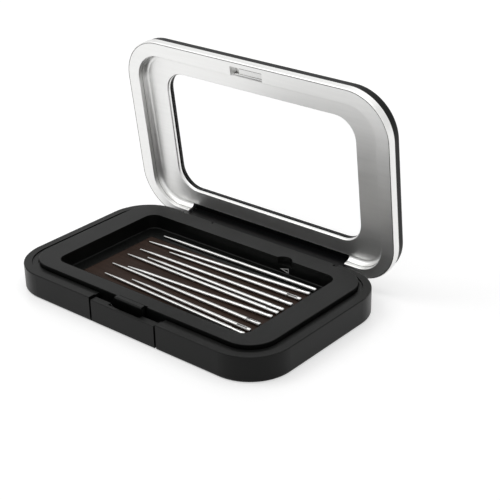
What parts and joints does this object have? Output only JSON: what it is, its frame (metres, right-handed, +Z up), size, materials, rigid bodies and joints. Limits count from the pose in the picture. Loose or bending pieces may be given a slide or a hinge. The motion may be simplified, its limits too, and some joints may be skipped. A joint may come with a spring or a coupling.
{
  "type": "magnetic needle case",
  "caption": "Flat rounded box with a windowed hinged lid, push button latch and a magnet sheet that holds sewing needles in a shallow recess.",
  "frame": {"origin": "centre of the base's flat underside", "axes": "+X along the length, to the viewer's right when facing the button; -Y to the button side, +Y to the hinge side; +Z up"},
  "size_m": [0.101, 0.0691, 0.0661],
  "materials": {
    "base_plastic": "fine satin moulding, charcoal black",
    "tray_plastic": "fine satin moulding, charcoal black",
    "button_plastic": "fine satin moulding, charcoal black",
    "cover_plastic": "satin black moulding",
    "silver_plastic": "silver lacquer, satin",
    "clear_plastic": "clear polished sheet",
    "black_tape": "thin black foam tape",
    "magnet_rubber": "dark brown flexible magnet sheet",
    "clear_film": "thin adhesive film",
    "mark_ink": "pale grey raised print",
    "needle_steel": "bright nickel plated",
    "pin_steel": "drawn steel",
    "spring_steel": "drawn spring wire"
  },
  "bodies": {
    "base": {"base_shell": "base_plastic", "tray": "tray_plastic", "pointer_mark": "mark_ink", "magnet_adhesive": "clear_film", "magnet_sheet": "magnet_rubber", "hinge_pin_left": "pin_steel", "hinge_pin_right": "pin_steel", "button_spring_left": "spring_steel", "button_spring_right": "spring_steel", "needle_01": "needle_steel", "needle_02": "needle_steel", "needle_03": "needle_steel", "needle_04": "needle_steel", "needle_05": "needle_steel", "needle_06": "needle_steel", "needle_07": "needle_steel", "needle_08": "needle_steel", "needle_09": "needle_steel", "needle_10": "needle_steel"},
    "lid": {"lid_frame": "silver_plastic", "lid_cover": "cover_plastic", "window_adhesive": "black_tape", "window_pane": "clear_plastic"},
    "button": {"latch_button": "button_plastic"}
  },
  "joints": [
    {"name": "lid_hinge", "type": "hinge", "parent": "base", "child": "lid", "pos_m": [0, 0.02986, 0.00504], "axis": [1, 0, 0], "range_deg": [-12, 83]},
    {"name": "button_press", "type": "slide", "parent": "base", "child": "button", "axis": [0, 1, 0], "range_m": [0, 0.0008], "stiffness_N_per_m": 1500, "springref_m": -0.0006, "deforming": ["button_spring_left", "button_spring_right"]}
  ]
}
